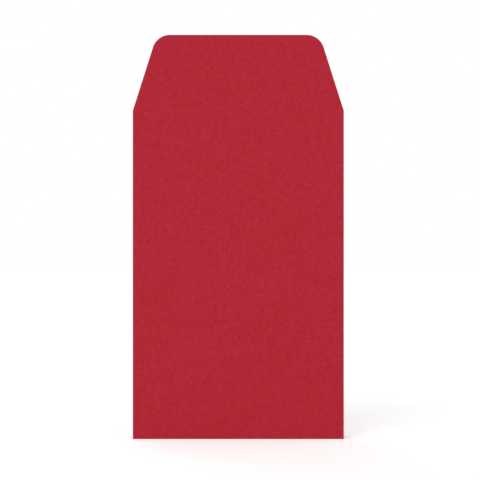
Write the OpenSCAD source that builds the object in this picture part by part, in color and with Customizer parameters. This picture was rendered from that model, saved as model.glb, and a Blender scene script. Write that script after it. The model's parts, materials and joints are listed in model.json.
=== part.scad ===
// Gusset envelope: an upright paper pocket with a seal flap. Its side and bottom walls are folded
// inwards in a V, so the back can move away from the front. The front faces -Y and the flap is up.
// The origin is at the middle of the base. All sizes are in millimetres and all angles in degrees.

/* [Body] */
// Width across the two side folds
body_w = 114.3; // [90:0.1:160]
// Height from the bottom folds to the mouth
body_h = 177.8; // [120:0.1:240]
// How far the gussets and the back stop below the mouth
mouth_drop = 1.5; // [0.5:0.1:6]

/* [Paper] */
// Thickness of the sheet
paper_t = 0.2; // [0.12:0.01:0.3]
// Free space between two layers that are folded flat
fold_gap = 0.2; // [0.15:0.01:0.4]
// Free space between a folded edge and the leaf that turns about it
crease_gap = 0.2; // [0.15:0.01:0.4]

/* [Gusset] */
// Width of one gusset leaf, which is half of the depth when the gusset is pulled straight
leaf_w = 12.5; // [8:0.1:18]
// Distance between the front and the back folded edges as the envelope stands
rest_open = 14; // [4:0.1:15]
// Free space on each side of the mitre between a side leaf and a bottom leaf
mitre_gap = 0.3; // [0.2:0.05:1]

/* [Flap] */
// Length of the flap past its second crease
tip_len = 14.6; // [12.5:0.1:30]
// Lean of the flap's side edges from upright
flap_lean = 17.7; // [5:0.1:25]
// Radius of the flap's outer corners
flap_corner_r = 9.7; // [4:0.1:11]
// Free space between the flap and the back when it wraps a fully opened envelope
wrap_gap = 0.4; // [0.3:0.1:2]

/* [Back seams] */
// Width over which the two back panels overlap
seam_lap = 16; // [10:0.5:30]
// Thickness of a dried glue line
glue_t = 0.05; // [0.03:0.01:0.15]
// Distance from a glue line to the paper edges around it
glue_margin = 3; // [1:0.5:4]
// Width over which a panel steps up onto the layer below it
step_run = 1.2; // [0.6:0.1:3]
// Free space between a step and the paper edge that it climbs over
step_gap = 0.4; // [0.2:0.1:1]
// Height of the seam flap that closes the bottom of the back
seam_flap_h = 22; // [14:0.5:40]
// Distance from the side fold to the seam flap, along the bottom fold
seam_flap_inset = 2.5; // [1:0.1:8]
// Lean of the seam flap's side edges from upright
seam_flap_lean = 35; // [10:1:45]
// Radius of the seam flap's upper corners
seam_flap_corner_r = 5; // [2:0.5:10]

/* [Closure] */
// Width of the self-seal adhesive strip
adhesive_w = 8; // [4:0.1:9]
// Thickness of the adhesive strip
adhesive_t = 0.1; // [0.05:0.01:0.2]
// Thickness of the release liner
liner_t = 0.08; // [0.05:0.01:0.15]
// How far the liner covers past each long edge of the adhesive
liner_margin = 1.2; // [0.5:0.1:1.5]
// How far the liner runs past the adhesive at its pulling end
liner_tab = 5; // [2:0.5:12]
// Distance from the liner's upper edge to the upper edge of the flap
liner_inset = 2.2; // [1:0.1:2.2]
// Distance from the liner's upper corners to the flap's rounded edge
liner_end_inset = 2; // [1:0.1:6]

/* [Hidden] */

$fn = 64;

paper_red = [0.69, 0.16, 0.22];
glue_amber = [0.85, 0.78, 0.62];
adhesive_clear = [0.90, 0.87, 0.78];
liner_white = [0.95, 0.95, 0.93];

// A folded edge is a round bead of paper. A leaf lies fold_offset from the axis of its bead.
fold_offset = (paper_t + fold_gap) / 2;
fold_r = fold_offset + paper_t / 2;
leaf_start = fold_r + crease_gap;

// Two leaves make a V. Its link runs from a panel's bead to the inner bead between the leaves.
link_len = norm([leaf_w, 2 * fold_offset]);
flat_lean = atan2(2 * fold_offset, leaf_w);
full_open = 2 * link_len;
rest_lean = asin(rest_open / full_open);
rest_turn = rest_lean - flat_lean;

// Layers on the back: 0 is the panels, 1 is one glued layer further out, 2 is two layers out.
layer_pitch = paper_t + glue_t;
outer_layer = 2;
depth = rest_open + 2 * fold_r + outer_layer * layer_pitch;

// Axes of the folded edges of the front and of the back
crease_x = body_w / 2 - fold_r;
crease_z = fold_r;
front_crease_y = -depth / 2 + fold_r;
back_crease_y = front_crease_y + rest_open;
front_y = front_crease_y - fold_offset;
back_y = back_crease_y + fold_offset;

// Upright extent of the side beads, which stop clear of the bottom beads and of the mouth
bead_z = 2 * fold_r + crease_gap;
rim_z = body_h - mouth_drop;

// The flap wraps over the mouth with its throat and down the back with its tip.
flap_start = paper_t / 2 + crease_gap;
back_reach = full_open + 2 * fold_offset + layer_pitch + paper_t / 2;
throat_len = back_reach + wrap_gap + liner_t + adhesive_t + paper_t / 2;
flap_h = throat_len + tip_len;

// The liner's upper corners stay inside the rounded corners of the flap.
liner_w = adhesive_w + 2 * liner_margin;
liner_top = flap_h - liner_inset;
liner_half = corner_x(body_w / 2, flap_h, flap_lean, flap_corner_r)
    + sqrt(flap_corner_r ^ 2 - (flap_corner_r - liner_inset) ^ 2) - liner_end_inset;

// The seam flap steps over the centre seam between these two places.
seam_left = -seam_lap / 2 - step_gap;
seam_right = seam_lap / 2 + step_gap;
seam_flap_half = body_w / 2 - seam_flap_inset;

// Height of a flap's corner centres above its base, and their distance from its middle
function corner_z(height, corner_r) = height - corner_r;
function corner_x(half_base, height, lean, corner_r) =
    half_base - (corner_r + corner_z(height, corner_r) * sin(lean)) / cos(lean);

function layer_y(layer) = back_y + layer * layer_pitch;

// Flat outline of a flap that tapers from its base and has two rounded corners
module tapered_outline(half_base, height, lean, corner_r) {
    cx = corner_x(half_base, height, lean, corner_r);
    cz = corner_z(height, corner_r);
    side_x = cx + corner_r * cos(lean);
    side_z = cz + corner_r * sin(lean);
    polygon([
        [-half_base, 0],
        [half_base, 0],
        [side_x, side_z],
        [cx, height],
        [-cx, height],
        [-side_x, side_z]
    ]);
    for (side = [-1, 1])
        translate([side * cx, cz])
            circle(corner_r);
}

// Stands a flat outline upright, from near_y to near_y + thickness
module standing(near_y, thickness) {
    translate([0, near_y + thickness, 0])
        rotate([90, 0, 0])
            linear_extrude(thickness)
                children();
}

// A rectangle upright between two heights, from near_y to near_y + thickness
module upright_strip(x_from, x_to, z_from, z_to, near_y, thickness) {
    standing(near_y, thickness)
        translate([x_from, z_from])
            square([x_to - x_from, z_to - z_from]);
}

// A round bead across the part, centred on x = 0
module cross_bead(half, y, z, radius) {
    translate([-half, y, z])
        rotate([0, 90, 0])
            cylinder(h = 2 * half, r = radius);
}

// A round bead up one side of a panel
module side_bead(x, y) {
    translate([x, y, bead_z])
        cylinder(h = rim_z - bead_z, r = fold_r);
}

// Paper that runs across the back through [x, layer] points, between two heights
module back_ribbon(path, z_from, z_to) {
    inner = [for (p = path) [p[0], layer_y(p[1]) - paper_t / 2]];
    outer = [for (i = [len(path) - 1:-1:0]) [path[i][0], layer_y(path[i][1]) + paper_t / 2]];
    translate([0, 0, z_from])
        linear_extrude(z_to - z_from)
            polygon(concat(inner, outer));
}

// Cuts a leaf to its length and to its mitres. A leaf's crease lies along Z, from its mitred corner,
// and shift is where the panel's crease lies along X.
module leaf_cut(length, shift, mitre_both) {
    reach = leaf_w + fold_r;
    end = mitre_both ? length - mitre_gap : length;
    slant = mitre_both ? reach : 0;
    intersection() {
        linear_extrude(length)
            children();
        translate([shift, 0, 0])
            standing(-leaf_w, 2 * leaf_w)
                polygon([
                    [0, mitre_gap],
                    [reach, mitre_gap + reach],
                    [reach, end - slant],
                    [0, end]
                ]);
    }
}

// Leaf next to the front, with the bead of the inner fold, turned about the front crease at the origin
module front_leaf(length, mitre_both) {
    rotate([0, 0, rest_turn])
        leaf_cut(length, 0, mitre_both) {
            translate([leaf_start, fold_offset - paper_t / 2])
                square([leaf_w - leaf_start, paper_t]);
            translate([leaf_w, 2 * fold_offset])
                circle(fold_r);
        }
}

// Leaf next to the back, turned the other way about the inner fold
module back_leaf(length, mitre_both) {
    translate([link_len * cos(rest_lean), link_len * sin(rest_lean), 0])
        rotate([0, 0, -rest_turn])
            leaf_cut(length, -leaf_w, mitre_both)
                translate([leaf_start - leaf_w, fold_offset - paper_t / 2])
                    square([leaf_w - 2 * leaf_start, paper_t]);
}

// Puts a leaf that is made about the origin at the left, right or bottom fold of the front
module at_left() {
    translate([-crease_x, front_crease_y, crease_z])
        children();
}

module at_right() {
    mirror([1, 0, 0])
        at_left()
            children();
}

module at_bottom() {
    translate([crease_x, front_crease_y, crease_z])
        rotate([0, -90, 0])
            children();
}

side_leaf_len = rim_z - crease_z;
bottom_leaf_len = 2 * crease_x;

// The flap's flat outline between two distances from the mouth, as thick as the paper
module flap_band(from, to) {
    translate([0, 0, body_h])
        intersection() {
            standing(front_y - paper_t / 2, paper_t)
                tapered_outline(body_w / 2, flap_h, flap_lean, flap_corner_r);
            upright_strip(-body_w, body_w, from, to, front_y - paper_t, 2 * paper_t);
        }
}

function flap_half(distance) = body_w / 2 - distance * tan(flap_lean);

module front_panel() {
    color(paper_red) {
        standing(front_y - paper_t / 2, paper_t) {
            translate([-crease_x, crease_z])
                square([2 * crease_x, body_h - crease_z]);
            translate([-body_w / 2, rim_z])
                square([body_w, mouth_drop]);
        }
        for (side = [-1, 1])
            side_bead(side * crease_x, front_crease_y);
        cross_bead(crease_x, front_crease_y, crease_z, fold_r);
        cross_bead(body_w / 2, front_y, body_h, paper_t / 2);
    }
}

module left_gusset_front_leaf() {
    color(paper_red)
        at_left()
            front_leaf(side_leaf_len, false);
}

module left_gusset_back_leaf() {
    color(paper_red)
        at_left()
            back_leaf(side_leaf_len, false);
}

module right_gusset_front_leaf() {
    color(paper_red)
        at_right()
            front_leaf(side_leaf_len, false);
}

module right_gusset_back_leaf() {
    color(paper_red)
        at_right()
            back_leaf(side_leaf_len, false);
}

module bottom_gusset_front_leaf() {
    color(paper_red)
        at_bottom()
            front_leaf(bottom_leaf_len, true);
}

module bottom_gusset_back_leaf() {
    color(paper_red)
        at_bottom()
            back_leaf(bottom_leaf_len, true);
}

// The left panel climbs over the edge of the right one and ends on top of it.
module back_left_panel() {
    color(paper_red) {
        back_ribbon([
            [-crease_x, 0],
            [seam_left - step_run, 0],
            [seam_left, 1],
            [seam_lap / 2, 1]
        ], bead_z, rim_z);
        side_bead(-crease_x, back_crease_y);
    }
}

module back_right_panel() {
    color(paper_red) {
        back_ribbon([[-seam_lap / 2, 0], [crease_x, 0]], bead_z, rim_z);
        side_bead(crease_x, back_crease_y);
    }
}

module centre_seam_glue() {
    half = seam_lap / 2 - glue_margin;
    color(glue_amber)
        upright_strip(-half, half, bead_z + glue_margin, rim_z - glue_margin, layer_y(0) + paper_t / 2, glue_t);
}

// The seam flap follows the panels under it, so it also steps over the centre seam.
module bottom_seam_flap() {
    color(paper_red) {
        intersection() {
            back_ribbon([
                [-seam_flap_half, 1],
                [seam_left - step_run, 1],
                [seam_left, 2],
                [seam_right, 2],
                [seam_right + step_run, 1],
                [seam_flap_half, 1]
            ], crease_z, crease_z + seam_flap_h);
            translate([0, 0, crease_z])
                standing(back_y, outer_layer * layer_pitch + paper_t)
                    tapered_outline(seam_flap_half, seam_flap_h, seam_flap_lean, seam_flap_corner_r);
        }
        cross_bead(seam_flap_half, back_crease_y + layer_pitch, crease_z, fold_r);
    }
}

// Glue between the seam flap and the panels, in a patch on each side and one on the centre seam
module bottom_seam_glue() {
    low = bead_z + glue_margin;
    high = crease_z + seam_flap_h - glue_margin;
    near = seam_right + step_run + glue_margin;
    far = seam_flap_half - seam_flap_h * tan(seam_flap_lean) - glue_margin;
    centre_half = seam_lap / 2 - glue_margin;
    color(glue_amber) {
        upright_strip(-far, -near, low, high, layer_y(0) + paper_t / 2, glue_t);
        upright_strip(near, far, low, high, layer_y(0) + paper_t / 2, glue_t);
        upright_strip(-centre_half, centre_half, low, high, layer_y(1) + paper_t / 2, glue_t);
    }
}

module flap_throat() {
    color(paper_red) {
        flap_band(flap_start, throat_len);
        cross_bead(flap_half(throat_len), front_y, body_h + throat_len, paper_t / 2);
    }
}

module flap_tip() {
    color(paper_red)
        flap_band(throat_len + flap_start, flap_h);
}

// The strip and its liner lie on the inner face of the flap's tip.
module flap_adhesive_strip() {
    top = body_h + liner_top - liner_margin;
    color(adhesive_clear)
        upright_strip(-liner_half + liner_margin, liner_half - liner_tab, top - adhesive_w, top,
            front_y + paper_t / 2, adhesive_t);
}

module release_liner() {
    top = body_h + liner_top;
    color(liner_white)
        upright_strip(-liner_half, liner_half, top - liner_w, top, front_y + paper_t / 2 + adhesive_t, liner_t);
}

front_panel();
left_gusset_front_leaf();
left_gusset_back_leaf();
right_gusset_front_leaf();
right_gusset_back_leaf();
bottom_gusset_front_leaf();
bottom_gusset_back_leaf();
back_left_panel();
back_right_panel();
centre_seam_glue();
bottom_seam_flap();
bottom_seam_glue();
flap_throat();
flap_tip();
flap_adhesive_strip();
release_liner();
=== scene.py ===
import itertools
import json
import math
from typing import NamedTuple

import bmesh
import bpy
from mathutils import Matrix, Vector


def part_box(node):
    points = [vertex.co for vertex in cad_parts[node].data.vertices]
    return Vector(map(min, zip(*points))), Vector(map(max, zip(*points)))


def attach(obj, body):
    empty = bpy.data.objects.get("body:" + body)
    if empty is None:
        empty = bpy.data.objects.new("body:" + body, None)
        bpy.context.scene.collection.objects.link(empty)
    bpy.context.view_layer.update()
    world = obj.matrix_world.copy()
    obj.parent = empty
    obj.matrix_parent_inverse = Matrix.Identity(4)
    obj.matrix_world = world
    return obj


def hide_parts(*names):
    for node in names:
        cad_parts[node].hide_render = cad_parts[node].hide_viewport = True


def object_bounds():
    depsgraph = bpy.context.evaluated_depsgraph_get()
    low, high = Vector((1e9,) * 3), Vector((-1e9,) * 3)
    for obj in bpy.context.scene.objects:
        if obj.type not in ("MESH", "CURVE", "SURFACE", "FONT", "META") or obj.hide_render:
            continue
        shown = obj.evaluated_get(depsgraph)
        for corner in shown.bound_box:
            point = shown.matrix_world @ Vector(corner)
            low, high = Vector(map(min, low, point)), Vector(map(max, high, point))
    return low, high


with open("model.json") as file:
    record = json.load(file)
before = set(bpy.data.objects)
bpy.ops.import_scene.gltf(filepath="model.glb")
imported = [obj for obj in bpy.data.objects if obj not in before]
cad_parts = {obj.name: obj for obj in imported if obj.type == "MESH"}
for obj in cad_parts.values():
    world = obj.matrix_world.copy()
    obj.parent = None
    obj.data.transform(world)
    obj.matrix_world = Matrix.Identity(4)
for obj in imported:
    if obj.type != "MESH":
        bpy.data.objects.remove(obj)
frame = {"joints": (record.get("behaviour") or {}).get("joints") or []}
cad_low, cad_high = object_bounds()

# Sizes from the frame, in metres, and angles in degrees

MM = 0.001
JOINTS = {joint["name"]: joint for joint in frame["joints"]}


def joint_place(name):
    return Vector(JOINTS[name]["pos_m"])


FRONT_FOLD = joint_place("gusset_spread")
INNER_FOLD = joint_place("left_inner_fold")
BACK_FOLD = joint_place("left_back_fold")
BOTTOM_FOLD = joint_place("bottom_front_fold")
MOUTH = joint_place("flap_fold")
TIP_CREASE = joint_place("tip_fold")
REST_TURN = -JOINTS["gusset_spread"]["range_deg"][0]  # from pressed flat to rest

tip_low, tip_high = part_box("flap_tip")
left_back_low, left_back_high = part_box("back_left_panel")
seam_flap_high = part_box("bottom_seam_flap")[1]

HALF_W = cad_high.x
CREASE_X = -FRONT_FOLD.x
CREASE_Z = BOTTOM_FOLD.z
PAPER_T = tip_high.y - tip_low.y
FOLD_OFFSET = FRONT_FOLD.y - MOUTH.y  # from a fold's axis to the middle of the paper
BACK_Y = BACK_FOLD.y + FOLD_OFFSET
PANEL_LOW = left_back_low.z
RIM_Z = left_back_high.z
SEAM_EDGE = left_back_high.x
SEAM_FLAP_HALF = seam_flap_high.x
SEAM_FLAP_H = seam_flap_high.z - CREASE_Z
FLAP_H = cad_high.z - MOUTH.z
THROAT = TIP_CREASE.z - MOUTH.z

# Sizes of the paper that the frame's boxes don't give

GLUE_T = 0.05 * MM
LAYER_PITCH = PAPER_T + GLUE_T
FLAP_LEAN = 17.7
FLAP_CORNER_R = 9.7 * MM
SEAM_FLAP_LEAN = 35
SEAM_FLAP_CORNER_R = 5 * MM
STEP_RUN = 1.2 * MM  # run in which paper climbs onto the layer below it
STEP_GAP = 0.4 * MM  # from that layer's edge to the top of the climb
STEP_START_H = 0.6 * MM  # height in which the seam flap takes up the climb above its fold
GLUE_MARGIN = 3 * MM  # left without glue along an edge or a climb
FLOOR_GAP = 0.05 * MM
WRAP_END_GAP = 0.15 * MM  # from the mouth down to the ends of the front's side folds
MITRE_GAP = 0.4 * MM
SCORED_SHARE = 0.5  # of the half thickness, on the inner face of a scored crease
NESTED_SHARE = 0.8  # of the thickness, where a leaf's fold nests in its neighbour's

# How far real paper strays from flat

FRONT_BULGE = 0.35 * MM
BACK_BULGE = 0.20 * MM
RIM_SLACK = 0.50 * MM  # how far the back draws in at the rim
RIM_SLACK_START = 0.62  # share of the rim's height
LEAF_BOW = 0.08 * MM
FLAP_CURL = 0.40 * MM
LAP_LIFT = 0.16 * MM
LAP_MEAN = 0.55
LAP_WAVES = ((0.30, 9 * MM, 0.0), (0.15, 3.7 * MM, 1.0))  # size, length of a radian, phase
COCKLE = 0.022 * MM
COCKLE_WAVES = ((1.0, 7.3 * MM), (0.6, 12.41 * MM))  # size, length of a wave
COCKLE_FULL = 0.6 * SEAM_EDGE  # to either side of the middle
COCKLE_END = 2.2 * SEAM_EDGE
TAB_LIFT = 0.35 * MM
TAB_LENGTH = 7 * MM
CORNER_TUCK = 0.2 * MM
TUCK_RUN = 4 * MM
SEAM_RIDGE_HIGHLIGHT = 0.6  # painted highlight on the ridges of the centre seam, in the worn colour

# Mesh steps

COLUMN = 2.4 * MM
LEAF_COLUMN = 1.2 * MM
LINER_COLUMN = 0.8 * MM
STEP_COLUMN = STEP_RUN / 3
FINE_ROW = 1.2 * MM
LEAF_ROW_SHARE = 0.02  # of the sheet's length
STRIP_ROW_SHARE = 0.1
SEAM_SIDE_SHARE = 0.06  # of the seam flap's width beside the centre seam
SEAM_SIDE_HEM = 0.012
HEM = 0.4 * MM  # from an edge to the next row or column
STEP_HEM = HEM / 2
HEM_SHARE = 0.25  # of a row's step, where that step is a share
EDGE_BAND = HEM / 2  # what is nearer to a cut edge counts as the edge
ARC_STEPS = 8
CORNER_STEPS = 16
ROUND_ANGLES = (30, 60, 85)
SHARP_ANGLE = 38


def lerp(start, end, share):
    return start + (end - start) * share


def clamp(share):
    return min(1.0, max(0.0, share))


def ease(value, start, end):
    """Rises smoothly from 0 at start to 1 at end."""
    share = clamp((value - start) / (end - start))
    return share * share * (3 - 2 * share)


def hump(share):
    """0 at shares 0 and 1, and 1 in the middle."""
    return 1 - (2 * share - 1) ** 2


def steps(start, end, spacing, hem=HEM):
    """Even steps from start to end, with one more step close to each end."""
    count = max(2, round(abs(end - start) / spacing))
    edge = math.copysign(hem, end - start)
    inner = [lerp(start + edge, end - edge, i / count) for i in range(count + 1)]
    return [start, *inner, end]


# Paper that isn't quite flat

def front_bulge(x, z):
    across = 1 - (x / HALF_W) ** 2
    return -FRONT_BULGE * across * hump(clamp(z / MOUTH.z)) ** 2


def back_bow(x, z):
    """The back swells a little, draws in at the rim and is cockled along the glued centre seam."""
    share = clamp(z / RIM_Z)
    across = max(0.0, 1 - (x / HALF_W) ** 2) ** 2
    swell = BACK_BULGE * hump(share) - RIM_SLACK * ease(share, RIM_SLACK_START, 1.0)
    near_seam = 1 - ease(abs(x), COCKLE_FULL, COCKLE_END)
    ripple = sum(size * math.sin(math.tau * z / length) for size, length in COCKLE_WAVES)
    return across * swell + COCKLE * near_seam * ripple


def flap_curl(z):
    return -FLAP_CURL * max(0.0, (z - MOUTH.z) / FLAP_H) ** 2


def lap_lift(distance, along):
    """How far a free paper edge stands off, by the distance from the edge and the place along it."""
    waves = sum(size * math.sin(along / radian + phase) for size, radian, phase in LAP_WAVES)
    return LAP_LIFT * (LAP_MEAN + waves) * (1 - ease(distance, 0, GLUE_MARGIN))


# Sheets of paper as closed meshes

class Station:
    """One point of a sheet's mid-line: its place, outward normal and share of the thickness.

    A folded station lies on a fold, where the paper is worn. The worn share also carries the painted
    highlight along the centre seam's ridges.
    """

    def __init__(self, place, normal, share=1.0, folded=False, wear_and_highlight=0.0):
        self.place = Vector(place)
        self.normal = Vector(normal)
        self.share = share
        self.folded = folded
        self.wear_and_highlight = 1.0 if folded else wear_and_highlight


def arc(centre, start, end, facing=1, share=1.0):
    """Mid-line round a fold between two directions. Where facing is 1, the outer face is outside."""
    stations = []
    for i in range(ARC_STEPS + 1):
        angle = math.radians(lerp(start, end, i / ARC_STEPS))
        out = Vector((math.cos(angle), math.sin(angle)))
        place = Vector(centre) + FOLD_OFFSET * out
        stations.append(Station(place, facing * out, share, folded=True))
    return stations


def run(start, end, normal, bow=0.0, spacing=COLUMN):
    """Mid-line straight from start to end, bowed towards its outer face in the middle."""
    start, end, normal = Vector(start), Vector(end), Vector(normal)
    length = (end - start).length
    return [
        Station(start.lerp(end, at / length) + bow * hump(at / length) * normal, normal)
        for at in steps(0, length, spacing)
    ]


def join(*parts):
    """One mid-line of several parts. Where two parts meet, the straight part's station is kept."""
    line = list(parts[0])
    for part in parts[1:]:
        if part[0].folded:
            line += part[1:]
        else:
            line = line[:-1] + part
    return line


def mirrored(line):
    """The same mid-line on the other side, from its far end."""
    return [
        Station((-s.place.x, s.place.y), (-s.normal.x, s.normal.y), s.share, s.folded, s.wear_and_highlight)
        for s in reversed(line)
    ]


def cut(line):
    """The mid-line with its far end marked as a cut edge."""
    line[-1].wear_and_highlight = 1.0
    return line


class Row(NamedTuple):
    """A row of points across a sheet: those on its outer face, those on its inner face, and their share of
    the worn colour, which along the centre seam is a painted highlight.
    """

    outer: list
    inner: list
    wear_and_highlight: list


def row_at(line, heights, place, thickness, share=1.0, scored=1.0, wear_and_highlight=0.0):
    """The row with each station at its height along the sheet. Scored thins the inner face."""
    half = thickness / 2 * share
    outer, inner = [], []
    for station, height in zip(line, heights):
        offset = half * station.share * station.normal
        outer.append(place(station.place + offset, height))
        inner.append(place(station.place - scored * offset, height))
    return Row(outer, inner, [max(wear_and_highlight, station.wear_and_highlight) for station in line])


def sheet_rows(line, low, high, row_share, place, thickness=PAPER_T, creased=False):
    """Rows of a sheet that runs from low to high along its folds. Its high end can be half of a crease.

    place turns a point of the mid-line's plane and a height along the sheet into a point in space.
    """
    rows = []
    for share in steps(0.0, 1.0, row_share, hem=HEM_SHARE * row_share):
        heights = [lerp(low(station), high(station), share) for station in line]
        on_crease = creased and share == 1.0
        wear_and_highlight = float(share in (0.0, 1.0) and not on_crease)
        scored = SCORED_SHARE if on_crease else 1.0
        rows.append(row_at(line, heights, place, thickness, scored=scored, wear_and_highlight=wear_and_highlight))
    for angle in map(math.radians, ROUND_ANGLES if creased else ()):
        past = thickness / 2 * math.sin(angle)
        heights = [high(station) + past for station in line]
        rows.append(row_at(line, heights, place, thickness, math.cos(angle), SCORED_SHARE))
    return rows


def constant(value):
    return lambda station: value


def add_points(mesh, points, wear_and_highlight, wear_and_highlight_layer):
    """Adds one side of a row. It stays None where the row has no point."""
    made = []
    for point, value in zip(points, wear_and_highlight):
        vertex = None if point is None else mesh.verts.new(point)
        if vertex:
            vertex[wear_and_highlight_layer] = value
        made.append(vertex)
    return made


def add_shell(mesh, rows, wear_and_highlight_layer):
    """Adds a closed skin through the rows. The sheet is cut away where a row has no points."""
    outer = [add_points(mesh, row.outer, row.wear_and_highlight, wear_and_highlight_layer) for row in rows]
    inner = [add_points(mesh, row.inner, row.wear_and_highlight, wear_and_highlight_layer) for row in rows]

    def corners(row, column):
        return (row, column), (row, column + 1), (row + 1, column + 1), (row + 1, column)

    def whole(row, column):
        inside = 0 <= row < len(rows) - 1 and 0 <= column < len(outer[0]) - 1
        return inside and all(outer[i][j] for i, j in corners(row, column))

    for row, column in itertools.product(range(len(rows) - 1), range(len(outer[0]) - 1)):
        if not whole(row, column):
            continue
        loop = corners(row, column)
        mesh.faces.new([outer[i][j] for i, j in loop])
        mesh.faces.new([inner[i][j] for i, j in reversed(loop)])
        neighbours = ((row - 1, column), (row, column + 1), (row + 1, column), (row, column - 1))
        for neighbour, (i, j), (k, m) in zip(neighbours, loop, loop[1:] + loop[:1]):
            if not whole(*neighbour):
                mesh.faces.new((outer[k][m], outer[i][j], inner[i][j], inner[k][m]))


def make_piece(name, shells, material, body, node):
    """One piece made of closed skins, which rides on a body and stands for a node."""
    mesh = bmesh.new()
    # Each point's share of the worn colour: worn folds and cut edges, and a painted highlight along the
    # centre seam's ridges.
    wear_and_highlight_layer = mesh.verts.layers.float.new("wear_and_highlight")
    for rows in shells:
        add_shell(mesh, rows, wear_and_highlight_layer)
    bmesh.ops.recalc_face_normals(mesh, faces=mesh.faces)
    data = bpy.data.meshes.new(name)
    mesh.to_mesh(data)
    mesh.free()
    data.polygons.foreach_set("use_smooth", [True] * len(data.polygons))
    data.set_sharp_from_angle(angle=math.radians(SHARP_ANGLE))
    data.materials.append(material)
    piece = bpy.data.objects.new(name, data)
    bpy.context.scene.collection.objects.link(piece)
    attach(piece, body)
    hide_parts(node)


# Node materials

NOISE_MIDDLE = 0.5


class Graph:
    """A node material with short ways to add what the papers need."""

    def __init__(self, name):
        self.material = bpy.data.materials.new(name)
        self.material.use_nodes = True
        self.tree = self.material.node_tree
        self.shader = self.tree.nodes["Principled BSDF"]
        self.place = self.add("ShaderNodeTexCoord").outputs["Object"]

    def add(self, kind, settings=None, inputs=None):
        made = self.tree.nodes.new(kind)
        for key, value in (settings or {}).items():
            setattr(made, key, value)
        for key, value in (inputs or {}).items():
            self.feed(made.inputs[key], value)
        return made

    def feed(self, socket, value):
        if isinstance(value, bpy.types.NodeSocket):
            self.tree.links.new(value, socket)
        else:
            socket.default_value = value

    def noise(self, scale, detail=2.0, roughness=0.5, stretch=(1, 1, 1), turn=0.0):
        """Noise with about scale features to the metre, drawn out by stretch and then turned about Y."""
        mapped = self.add("ShaderNodeMapping", {"vector_type": "TEXTURE"}, {
            "Vector": self.place,
            "Rotation": (0, math.radians(turn), 0),
            "Scale": stretch,
        })
        return self.add("ShaderNodeTexNoise", inputs={
            "Vector": mapped.outputs[0],
            "Scale": scale,
            "Detail": detail,
            "Roughness": roughness,
        }).outputs[0]

    def math(self, operation, first, second):
        return self.add("ShaderNodeMath", {"operation": operation}, {0: first, 1: second}).outputs[0]

    def largest(self, values):
        total = values[0]
        for value in values[1:]:
            total = self.math("MAXIMUM", total, value)
        return total

    def blend(self, parts):
        """Weighted sum of noises, which keeps their middle."""
        total = NOISE_MIDDLE
        for weight, value in parts:
            swing = self.math("SUBTRACT", value, NOISE_MIDDLE)
            total = self.math("ADD", total, self.math("MULTIPLY", swing, weight))
        return total

    def levels(self, factor, low, high, start=0.0, end=1.0):
        """Maps start to end onto low to high, and holds the limits outside them."""
        made = self.add("ShaderNodeMapRange", inputs={0: factor, 1: start, 2: end, 3: low, 4: high})
        return made.outputs[0]

    def ramp(self, factor, first, last, start, end):
        """Goes from the first colour at start to the last one at end."""
        made = self.add("ShaderNodeValToRGB", inputs={0: factor})
        stops = ((start, first), (end, last))
        for element, (position, colour) in zip(made.color_ramp.elements, stops):
            element.position = position
            element.color = (*colour, 1)
        return made.outputs[0]

    def mix(self, factor, base, colour):
        """The base, with a plain colour over it by the factor."""
        inputs = {0: factor, 6: base, 7: (*colour, 1)}
        return self.add("ShaderNodeMix", {"data_type": "RGBA"}, inputs).outputs[2]

    def shade(self, colour, factor):
        """The colour times a grey factor."""
        inputs = {0: colour, "Scale": factor}
        return self.add("ShaderNodeVectorMath", {"operation": "SCALE"}, inputs).outputs[0]

    def wear_and_highlight(self):
        """1 on worn folds and cut edges, less on the centre seam's ridges where it paints a highlight, and
        0 on the rest of the paper.
        """
        return self.add("ShaderNodeAttribute", {"attribute_name": "wear_and_highlight"}).outputs["Fac"]

    def bump(self, height, strength, distance):
        inputs = {"Strength": strength, "Distance": distance, "Height": height}
        self.feed(self.shader.inputs["Normal"], self.add("ShaderNodeBump", inputs=inputs).outputs[0])

    def finish(self, **sockets):
        for key, value in sockets.items():
            self.feed(self.shader.inputs[key.replace("_", " ")], value)
        return self.material


FIBRE_SCALE = 1500
FIBRE_STRETCH = 5
FIBRE_WIDTH = 0.05
PATCH_SCALE = FIBRE_SCALE / 2
PATCH_STRETCH = 2
PALE_TURNS = (20, 75, 140)
DEEP_TURNS = (-10, 50, 105)


def fibres_along(graph, turn):
    """Short thin lines in one direction, 1 along their middle, in scattered patches."""
    field = graph.noise(FIBRE_SCALE, detail=1.0, stretch=(1, 1, FIBRE_STRETCH), turn=turn)
    away = graph.math("ABSOLUTE", graph.math("SUBTRACT", field, NOISE_MIDDLE), 0.0)
    line = graph.levels(away, 1.0, 0.0, end=FIBRE_WIDTH)
    patch = graph.noise(PATCH_SCALE, detail=1.0, stretch=(1, 1, PATCH_STRETCH), turn=turn)
    return graph.math("MULTIPLY", line, graph.levels(patch, 0.0, 1.0, start=0.50, end=0.58))


def fibres(graph, turns):
    return graph.largest([fibres_along(graph, turn) for turn in turns])


RED_WARM = (0.420, 0.0118, 0.0250)
RED_COOL = (0.416, 0.0140, 0.0332)
HAZE_RED = (0.49, 0.048, 0.070)
PALE_FIBRE = (0.52, 0.050, 0.070)
DEEP_FIBRE = (0.33, 0.009, 0.020)
# Paler red of worn folds and cut edges, also used to paint a highlight along the centre seam's ridges.
WORN_AND_HIGHLIGHT_RED = (0.50, 0.055, 0.075)
GRAIN_DARK = 0.77
GRAIN_LIGHT = 1.23
CLOUD_WEIGHT = 0.10
HAZE = 0.22
PALE_COVER = 0.20
DEEP_COVER = 0.22
WORN_AND_HIGHLIGHT_COVER = 0.30
FIBRE_RELIEF = 0.06


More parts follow.
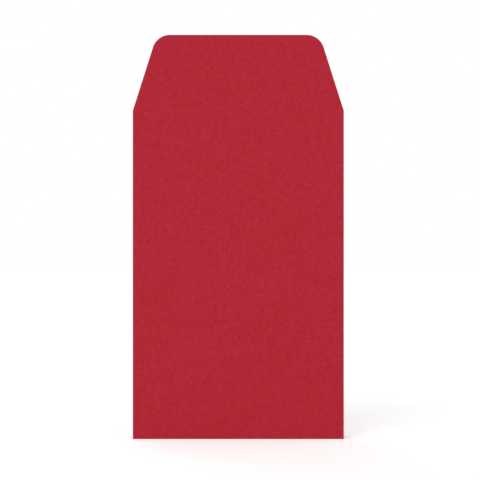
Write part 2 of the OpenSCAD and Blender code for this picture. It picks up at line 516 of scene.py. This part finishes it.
def red_paper():
    """Uncoated paper, dyed through: fine grain, stray fibres, slow cloudiness, worn folds and a painted
    highlight on the centre seam's ridges.
    """
    graph = Graph("red_paper")
    grain = graph.noise(scale=540, detail=5.0, roughness=0.58)
    cloud = graph.noise(scale=70)
    fuzz = graph.noise(scale=480, detail=4.0, roughness=0.6)
    pale = fibres(graph, PALE_TURNS)
    deep = fibres(graph, DEEP_TURNS)
    tone = graph.blend([(1.0, grain), (CLOUD_WEIGHT, cloud)])
    hue = graph.ramp(cloud, RED_WARM, RED_COOL, start=0.25, end=0.75)
    colour = graph.shade(hue, graph.levels(tone, GRAIN_DARK, GRAIN_LIGHT))
    colour = graph.mix(graph.levels(fuzz, 0.0, HAZE, start=0.40, end=0.70), colour, HAZE_RED)
    colour = graph.mix(graph.math("MULTIPLY", pale, PALE_COVER), colour, PALE_FIBRE)
    colour = graph.mix(graph.math("MULTIPLY", deep, DEEP_COVER), colour, DEEP_FIBRE)
    # Worn folds and cut edges, and the painted highlight along the centre seam's ridges, take the paler
    # red.
    colour = graph.mix(graph.math("MULTIPLY", graph.wear_and_highlight(), WORN_AND_HIGHLIGHT_COVER), colour, WORN_AND_HIGHLIGHT_RED)
    tooth = graph.math("ADD", grain, graph.math("MULTIPLY", pale, FIBRE_RELIEF))
    graph.bump(tooth, strength=0.35, distance=0.07 * MM)
    return graph.finish(
        Base_Color=colour,
        Roughness=graph.levels(tone, 0.70, 0.95),
        Specular_IOR_Level=0.16,
    )


LINER_DULL = (0.80, 0.80, 0.765)
LINER_WHITE = (0.90, 0.90, 0.875)


def release_paper():
    """Bleached, glazed liner with a faint machine-direction streak."""
    graph = Graph("release_paper")
    streak = graph.noise(scale=420, stretch=(16, 1, 1))
    cloud = graph.noise(scale=160)
    tone = graph.blend([(0.7, streak), (0.7, cloud)])
    graph.bump(tone, strength=0.12, distance=0.05 * MM)
    return graph.finish(
        Base_Color=graph.ramp(tone, LINER_DULL, LINER_WHITE, start=0.1, end=0.9),
        Roughness=graph.levels(tone, 0.28, 0.44),
        Specular_IOR_Level=0.5,
    )


FILM_DEEP = (0.40, 0.060, 0.062)
FILM_PALE = (0.60, 0.155, 0.140)


def seal_adhesive():
    """Tacky film. The red paper shows through it, and fine bubbles dull it in places."""
    graph = Graph("seal_adhesive")
    cloud = graph.noise(scale=220, detail=3.0)
    bubble = graph.noise(scale=1400, detail=1.0)
    tone = graph.blend([(0.9, cloud), (0.8, bubble)])
    graph.bump(tone, strength=0.30, distance=0.08 * MM)
    return graph.finish(
        Base_Color=graph.ramp(tone, FILM_DEEP, FILM_PALE, start=0.1, end=0.9),
        Roughness=graph.levels(cloud, 0.16, 0.34),
        Specular_IOR_Level=0.5,
    )


GLUE_DARK = (0.52, 0.39, 0.22)
GLUE_LIGHT = (0.70, 0.58, 0.40)


def seam_glue():
    """Dried glue, amber and a little streaky."""
    graph = Graph("seam_glue")
    streak = graph.noise(scale=500, stretch=(1, 1, 8))
    cloud = graph.noise(scale=300)
    tone = graph.blend([(0.9, streak), (0.8, cloud)])
    graph.bump(tone, strength=0.3, distance=0.05 * MM)
    return graph.finish(
        Base_Color=graph.ramp(tone, GLUE_DARK, GLUE_LIGHT, start=0.1, end=0.9),
        Roughness=graph.levels(tone, 0.38, 0.62),
        Specular_IOR_Level=0.4,
    )


# The plain front

WRAP = 180 - REST_TURN
LEFT_FRONT_WRAP = (-90 - WRAP, -90)
LEFT_BACK_WRAP = (90 + WRAP, 90)


def bottom_fold(bend, places, bulge):
    """Rows round a bottom fold, one for each station of its bend. None among the places is a cut-away."""
    def point(flat, x):
        return Vector((x, flat.y + bulge(x, CREASE_Z), CREASE_Z + flat.x))

    rows = []
    for station in bend:
        offset = PAPER_T / 2 * station.normal
        faces = [
            [None if x is None else point(flat, x) for x in places]
            for flat in (station.place + offset, station.place - offset)
        ]
        rows.append(Row(*faces, [station.wear_and_highlight] * len(places)))
    return rows


def place_front(flat, z):
    return Vector((flat.x, flat.y + front_bulge(flat.x, z), z))


def front_panel(material):
    """The plain front with its folded edges. Its upper edge is half of the mouth crease."""
    left = arc((-CREASE_X, FRONT_FOLD.y), *LEFT_FRONT_WRAP)
    flat = run((-CREASE_X, MOUTH.y), (CREASE_X, MOUTH.y), (0, -1))
    line = join(left, flat, mirrored(left))

    def low(station):
        return FLOOR_GAP if station.folded else CREASE_Z

    def high(station):
        return MOUTH.z - (WRAP_END_GAP if station.folded else 0)

    bend = arc((0, FRONT_FOLD.y), *LEFT_FRONT_WRAP)
    rows = bottom_fold(bend[:-1], [None if s.folded else s.place.x for s in line], front_bulge)
    rows += sheet_rows(line, low, high, COLUMN / MOUTH.z, place_front, creased=True)
    make_piece("front_panel_paper", [rows], material, "front", "front_panel")


# The V folds at the sides and the bottom

FRONT_AXIS = Vector((0, FRONT_FOLD.y))
INNER_AXIS = Vector((INNER_FOLD.x + CREASE_X, INNER_FOLD.y))
BACK_AXIS = Vector((0, BACK_FOLD.y))
ALONG_LEAF = Vector((math.cos(math.radians(REST_TURN)), math.sin(math.radians(REST_TURN))))
LEAF_NORMAL = ALONG_LEAF.orthogonal()
LEAF_W = (INNER_AXIS - FRONT_AXIS).dot(ALONG_LEAF)
FLIP = Vector((1, -1))


def leaf_lines(bow):
    """Mid-lines of the front and back leaf of a V fold, by the distance in from the panel's crease."""
    outward = 90 + REST_TURN
    inward = 180 - outward
    start = FRONT_AXIS + FOLD_OFFSET * LEAF_NORMAL
    end = start + LEAF_W * ALONG_LEAF
    front = join(
        arc(FRONT_AXIS, outward + REST_TURN, outward, share=NESTED_SHARE),
        run(start, end, LEAF_NORMAL, bow, LEAF_COLUMN),
        arc(INNER_AXIS, -inward, inward, facing=-1),
    )
    back_normal = LEAF_NORMAL * FLIP
    back_end = BACK_AXIS + FOLD_OFFSET * back_normal
    back_start = back_end + LEAF_W * ALONG_LEAF * FLIP
    back = join(
        arc(INNER_AXIS, inward - 2 * REST_TURN, inward, facing=-1, share=NESTED_SHARE),
        run(back_start, back_end, back_normal, bow, LEAF_COLUMN),
        arc(BACK_AXIS, -outward, -outward - REST_TURN, share=NESTED_SHARE),
    )
    return front, back


def side_leaf(line, side):
    """Rows of a leaf on the left, where side is -1, or on the right."""
    def place(flat, z):
        return Vector((side * (CREASE_X - flat.x), flat.y, z))

    return sheet_rows(line, constant(FLOOR_GAP), constant(RIM_Z), LEAF_ROW_SHARE, place)


def bottom_leaf(line, tuck_along):
    """Rows of a bottom leaf. Its ends are mitred, and tucked so that they clear the side leaves."""
    def place(flat, x):
        inward = CREASE_X - abs(x)
        tuck = ease(flat.x, 0, TUCK_RUN) * (1 - ease(inward, LEAF_W, LEAF_W + TUCK_RUN))
        flat = flat + CORNER_TUCK * tuck * tuck_along
        return Vector((x, flat.y, CREASE_Z + flat.x))

    def left_end(station):
        return -CREASE_X + MITRE_GAP + max(0.0, station.place.x) / ALONG_LEAF.x

    def right_end(station):
        return -left_end(station)

    return sheet_rows(line, left_end, right_end, LEAF_ROW_SHARE, place)


def make_leaf(edge, part, rows, material):
    node = f"{edge}_gusset_{part}_leaf"
    make_piece(f"{node}_paper", [rows], material, f"{edge}_{part}_leaf", node)


def gussets(material):
    parts = ("front", "back")
    for edge, side in (("left", -1), ("right", 1)):
        for part, line in zip(parts, leaf_lines(LEAF_BOW)):
            make_leaf(edge, part, side_leaf(line, side), material)
    tucks = (-LEAF_NORMAL, -LEAF_NORMAL * FLIP)
    for part, line, tuck in zip(parts, leaf_lines(bow=0.0), tucks):
        make_leaf("bottom", part, bottom_leaf(line, tuck), material)


# The glued back

SEAM_LEFT = -SEAM_EDGE - STEP_GAP
SEAM_RIGHT = SEAM_EDGE + STEP_GAP
CLIMB_START = SEAM_LEFT - STEP_RUN
CLIMB_END = SEAM_RIGHT + STEP_RUN


def climb(x):
    """Share of a layer that paper has climbed onto the centre seam at x."""
    return ease(x, CLIMB_START, SEAM_LEFT) * (1 - ease(x, SEAM_RIGHT, CLIMB_END))


def seam_ridge_highlight(x):
    """Painted highlight of the back along the two ridges of the centre seam, as a share of the worn colour.
    """
    return SEAM_RIDGE_HIGHLIGHT * (1 - ease(abs(abs(x) - SEAM_RIGHT), 0, STEP_RUN))


def place_back(flat, z):
    return Vector((flat.x, flat.y + back_bow(flat.x, z), z))


def place_left_back(flat, z):
    lift = lap_lift(SEAM_EDGE - flat.x, z)
    return place_back(flat, z) + Vector((0, lift, 0))


def back_line():
    """Flat mid-line of a back panel, from its left fold to its cut edge in the centre seam."""
    wrap = arc((-CREASE_X, BACK_FOLD.y), *LEFT_BACK_WRAP)
    return cut(join(wrap, run((-CREASE_X, BACK_Y), (SEAM_EDGE, BACK_Y), (0, 1))))


def back_rows(line, place):
    return sheet_rows(line, constant(PANEL_LOW), constant(RIM_Z), FINE_ROW / RIM_Z, place)


def back_left_panel(material):
    """The left part of the back, which climbs onto the right part's edge and ends on top of it."""
    line = [s for s in back_line() if s.folded or s.place.x < CLIMB_START - STEP_RUN]
    close = steps(CLIMB_START - STEP_RUN / 2, SEAM_EDGE, STEP_COLUMN, STEP_HEM)
    # The back turns paler along the seam's ridges: a painted highlight.
    line += [Station((x, BACK_Y + LAYER_PITCH * climb(x)), (0, 1), wear_and_highlight=seam_ridge_highlight(x)) for x in close]
    rows = back_rows(cut(line), place_left_back)
    make_piece("back_left_panel_paper", [rows], material, "back", "back_left_panel")


def back_right_panel(material):
    rows = back_rows(mirrored(back_line()), place_back)
    make_piece("back_right_panel_paper", [rows], material, "back", "back_right_panel")


def taper(height, half_base, full_height, lean, corner_r):
    """Half width, at a height, of a flap that tapers from its base and has two round corners."""
    lean = math.radians(lean)
    centre_z = full_height - corner_r
    centre_x = half_base - (corner_r + centre_z * math.sin(lean)) / math.cos(lean)
    if height <= centre_z + corner_r * math.sin(lean):
        return half_base - height * math.tan(lean)
    over = min(1.0, (height - centre_z) / corner_r)
    return centre_x + corner_r * math.sqrt(1 - over * over)


def taper_heights(low, full_height, corner_r):
    """Heights of the rows of such a flap from low to its end, closer together round its corners."""
    bend = full_height - corner_r
    angles = [math.radians(90 * (i + 1) / CORNER_STEPS) for i in range(CORNER_STEPS)]
    return steps(low, bend, FINE_ROW) + [bend + corner_r * math.sin(angle) for angle in angles]


def seam_flap_half(height):
    return taper(height, SEAM_FLAP_HALF, SEAM_FLAP_H, SEAM_FLAP_LEAN, SEAM_FLAP_CORNER_R)


def seam_flap_columns(height):
    """Places across the seam flap, close together where it crosses the centre seam."""
    close_half = CLIMB_END + STEP_RUN
    close = steps(-close_half, close_half, STEP_COLUMN, STEP_HEM)
    shares = steps(0.0, 1.0, SEAM_SIDE_SHARE, SEAM_SIDE_HEM)[1:]
    side = [lerp(close_half, seam_flap_half(height), share) for share in shares]
    return [-x for x in reversed(side)] + close + side


def seam_flap_row(height):
    """A row across the seam flap at a height above its fold."""
    z = CREASE_Z + height
    half = seam_flap_half(height)
    step = LAYER_PITCH * ease(height, 0, STEP_START_H)
    free = ease(height, 0, GLUE_MARGIN)
    row = Row([], [], [])
    for x in seam_flap_columns(height):
        edge = min(half - abs(x), SEAM_FLAP_H - height)
        y = BACK_Y + LAYER_PITCH + step * climb(x)
        y += back_bow(x, z) + free * lap_lift(edge, x + height)
        row.outer.append(Vector((x, y + PAPER_T / 2, z)))
        row.inner.append(Vector((x, y - PAPER_T / 2, z)))
        # Worn at its cut edges, and paler on the centre seam's ridges as a painted highlight.
        row.wear_and_highlight.append(max(float(edge < EDGE_BAND), seam_ridge_highlight(x)))
    return row


def bottom_seam_flap(material):
    """The flap of the bottom fold, glued up onto both panels and over the centre seam."""
    bend = arc((0, BACK_FOLD.y + LAYER_PITCH), *LEFT_BACK_WRAP)
    rows = bottom_fold(bend[:-1], seam_flap_columns(0), back_bow)
    rows += [seam_flap_row(height) for height in taper_heights(0, SEAM_FLAP_H, SEAM_FLAP_CORNER_R)]
    make_piece("bottom_seam_flap_paper", [rows], material, "back", "bottom_seam_flap")


def glue_patch(left, right, low, high, layer):
    """Rows of a film of glue on top of a layer of the back, counted from 0."""
    y = BACK_Y + (layer + 0.5) * LAYER_PITCH
    line = run((left, y), (right, y), (0, 1))
    return sheet_rows(line, constant(low), constant(high), FINE_ROW / (high - low), place_back, GLUE_T)


def seam_glues(material):
    """Glue in the centre seam, and below the seam flap on both panels and on the seam."""
    seam_low, seam_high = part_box("centre_seam_glue")
    centre = glue_patch(seam_low.x, seam_high.x, seam_low.z, seam_high.z, 0)
    make_piece("centre_seam_glue_film", [centre], material, "back", "centre_seam_glue")
    low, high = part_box("bottom_seam_glue")
    near = CLIMB_END + GLUE_MARGIN
    spans = [(low.x, -near, 0), (near, high.x, 0), (seam_low.x, seam_high.x, 1)]
    patches = [glue_patch(left, right, low.z, high.z, layer) for left, right, layer in spans]
    make_piece("bottom_seam_glue_film", patches, material, "back", "bottom_seam_glue")


# The seal flap

def flap_row(height, share=1.0, past=0.0):
    """A row across the flap at a height above the mouth. Past a crease the row keeps the crease's width."""
    half = taper(height, HALF_W, FLAP_H, FLAP_LEAN, FLAP_CORNER_R)
    z = MOUTH.z + height + past
    y = MOUTH.y + flap_curl(z)
    thick = PAPER_T / 2 * share
    scored = SCORED_SHARE if height in (0, THROAT) else 1.0
    across = [at / HALF_W for at in steps(-HALF_W, HALF_W, COLUMN)]
    outer = [Vector((half * at, y - thick, z)) for at in across]
    inner = [Vector((half * at, y + thick * scored, z)) for at in across]
    top = FLAP_H - height < EDGE_BAND
    wear_and_highlight = [float(top or abs(at) > 1 - EDGE_BAND / HALF_W) for at in across]
    return Row(outer, inner, wear_and_highlight)


def crease_rows(height, direction):
    """Rows that round off a sheet at a crease, above it where direction is 1 and below it at -1."""
    half = PAPER_T / 2
    angles = [math.radians(angle) for angle in ROUND_ANGLES]
    rows = [flap_row(height, math.cos(angle), direction * half * math.sin(angle)) for angle in angles]
    return rows if direction > 0 else rows[::-1]


def flap_throat(material):
    rows = [flap_row(height) for height in steps(0, THROAT, FINE_ROW)]
    rows = crease_rows(0, -1) + rows + crease_rows(THROAT, 1)
    make_piece("flap_throat_paper", [rows], material, "flap_throat", "flap_throat")


def flap_tip(material):
    rows = [flap_row(height) for height in taper_heights(THROAT, FLAP_H, FLAP_CORNER_R)]
    rows = crease_rows(THROAT, -1) + rows
    make_piece("flap_tip_paper", [rows], material, "flap_tip", "flap_tip")


def place_strip(flat, z):
    return Vector((flat.x, flat.y + flap_curl(z), z))


def strip_rows(node, place, spacing=COLUMN):
    """Rows of a strip on the inner face of the tip, of the size of its node."""
    low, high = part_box(node)
    y = (low.y + high.y) / 2
    line = run((low.x, y), (high.x, y), (0, 1), spacing=spacing)
    return sheet_rows(line, constant(low.z), constant(high.z), STRIP_ROW_SHARE, place, high.y - low.y)


def adhesive_strip(material):
    rows = strip_rows("flap_adhesive_strip", place_strip)
    make_piece("flap_adhesive_film", [rows], material, "flap_tip", "flap_adhesive_strip")


def release_liner(material):
    """The liner that covers the adhesive. The tab at its right end lifts a little."""
    tab_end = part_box("release_liner")[1].x

    def place(flat, z):
        lift = TAB_LIFT * ease(flat.x, tab_end - TAB_LENGTH, tab_end) ** 2
        return place_strip(flat, z) + Vector((0, lift, 0))

    rows = strip_rows("release_liner", place, LINER_COLUMN)
    make_piece("release_liner_tape", [rows], material, "liner", "release_liner")


# Camera, light and stage

IMAGE_PIXELS = 480
BODY_PIXELS = 211.1  # width of the body in the photograph
CENTRE_PIXEL = (238.3, 237.05)  # middle of the object in the photograph
LENS = 100
SENSOR = 36
FLOOR_HALF = 4.0
FLOOR_DROP = 0.02 * MM
FLOOR_GREY = (0.80, 0.80, 0.80, 1)
FLOOR_GLOW = 0.39
WHITE = (1, 1, 1, 1)
AMBIENT = 0.50

# Name, direction of the light, strength, and softness in degrees
LAMPS = (
    ("key", (0.45, 0.75, -0.48), 1.24, 50),
    ("fill", (-0.60, 0.80, -0.05), 0.66, 70),
    ("back", (0.40, -0.90, -0.10), 1.75, 60),
    ("left_side", (1.0, 0.0, -0.08), 0.55, 50),
    ("right_side", (-1.0, 0.0, -0.08), 0.55, 50),
)


def add_camera():
    """Looks straight at the front, with the object where the photograph has it in the frame."""
    pixel = 2 * HALF_W / BODY_PIXELS
    distance = IMAGE_PIXELS * pixel * LENS / SENSOR
    right = (IMAGE_PIXELS / 2 - CENTRE_PIXEL[0]) * pixel
    down = (IMAGE_PIXELS / 2 - CENTRE_PIXEL[1]) * pixel
    data = bpy.data.cameras.new("camera")
    data.lens = LENS
    data.sensor_width = SENSOR
    camera = bpy.data.objects.new("camera", data)
    camera.location = (right, cad_low.y - distance, cad_high.z / 2 - down)
    camera.rotation_euler = (math.radians(90), 0, 0)
    bpy.context.scene.collection.objects.link(camera)
    bpy.context.scene.camera = camera


def seen_rays(tree):
    """1 for rays that see the background: from the camera, or by way of gloss or glass."""
    path = tree.nodes.new("ShaderNodeLightPath")
    total = path.outputs["Is Camera Ray"]
    for name in ("Is Glossy Ray", "Is Transmission Ray"):
        larger = tree.nodes.new("ShaderNodeMath")
        larger.operation = "MAXIMUM"
        tree.links.new(total, larger.inputs[0])
        tree.links.new(path.outputs[name], larger.inputs[1])
        total = larger.outputs[0]
    return total


def add_world():
    """Soft light from all around, which looks white where it is seen."""
    world = bpy.data.worlds.new("studio")
    world.use_nodes = True
    tree = world.node_tree
    light = tree.nodes["Background"]
    light.inputs["Color"].default_value = WHITE
    light.inputs["Strength"].default_value = AMBIENT
    white = tree.nodes.new("ShaderNodeBackground")
    white.inputs["Color"].default_value = WHITE
    white.inputs["Strength"].default_value = 1.0
    mix = tree.nodes.new("ShaderNodeMixShader")
    tree.links.new(seen_rays(tree), mix.inputs[0])
    tree.links.new(light.outputs[0], mix.inputs[1])
    tree.links.new(white.outputs[0], mix.inputs[2])
    tree.links.new(mix.outputs[0], tree.nodes["World Output"].inputs["Surface"])
    bpy.context.scene.world = world


def floor_material():
    """Pale floor that looks white and keeps the object's soft shadow."""
    graph = Graph("pale_floor")
    tree = graph.tree
    graph.finish(Base_Color=FLOOR_GREY, Roughness=1.0, Specular_IOR_Level=0.0)
    glow = tree.nodes.new("ShaderNodeEmission")
    strength = graph.math("MULTIPLY", seen_rays(tree), FLOOR_GLOW)
    tree.links.new(strength, glow.inputs["Strength"])
    both = tree.nodes.new("ShaderNodeAddShader")
    tree.links.new(graph.shader.outputs[0], both.inputs[0])
    tree.links.new(glow.outputs[0], both.inputs[1])
    tree.links.new(both.outputs[0], tree.nodes["Material Output"].inputs["Surface"])
    return graph.material


def add_floor():
    data = bpy.data.meshes.new("floor")
    corners = [(-1, -1), (1, -1), (1, 1), (-1, 1)]
    points = [(x * FLOOR_HALF, y * FLOOR_HALF, -FLOOR_DROP) for x, y in corners]
    data.from_pydata(points, [], [(0, 1, 2, 3)])
    data.materials.append(floor_material())
    floor = bpy.data.objects.new("floor", data)
    bpy.context.scene.collection.objects.link(floor)


def add_lamps():
    """Distant soft lamps, each turned to shine in its direction."""
    for name, direction, strength, softness in LAMPS:
        data = bpy.data.lights.new(name, "SUN")
        data.energy = strength
        data.angle = math.radians(softness)
        lamp = bpy.data.objects.new(name, data)
        lamp.rotation_euler = Vector(direction).to_track_quat("-Z", "Y").to_euler()
        bpy.context.scene.collection.objects.link(lamp)


bpy.context.scene.view_settings.view_transform = "Standard"
add_camera()
add_world()
add_floor()
add_lamps()

paper = red_paper()
front_panel(paper)
gussets(paper)
back_left_panel(paper)
back_right_panel(paper)
bottom_seam_flap(paper)
seam_glues(seam_glue())
flap_throat(paper)
flap_tip(paper)
adhesive_strip(seal_adhesive())
release_liner(release_paper())
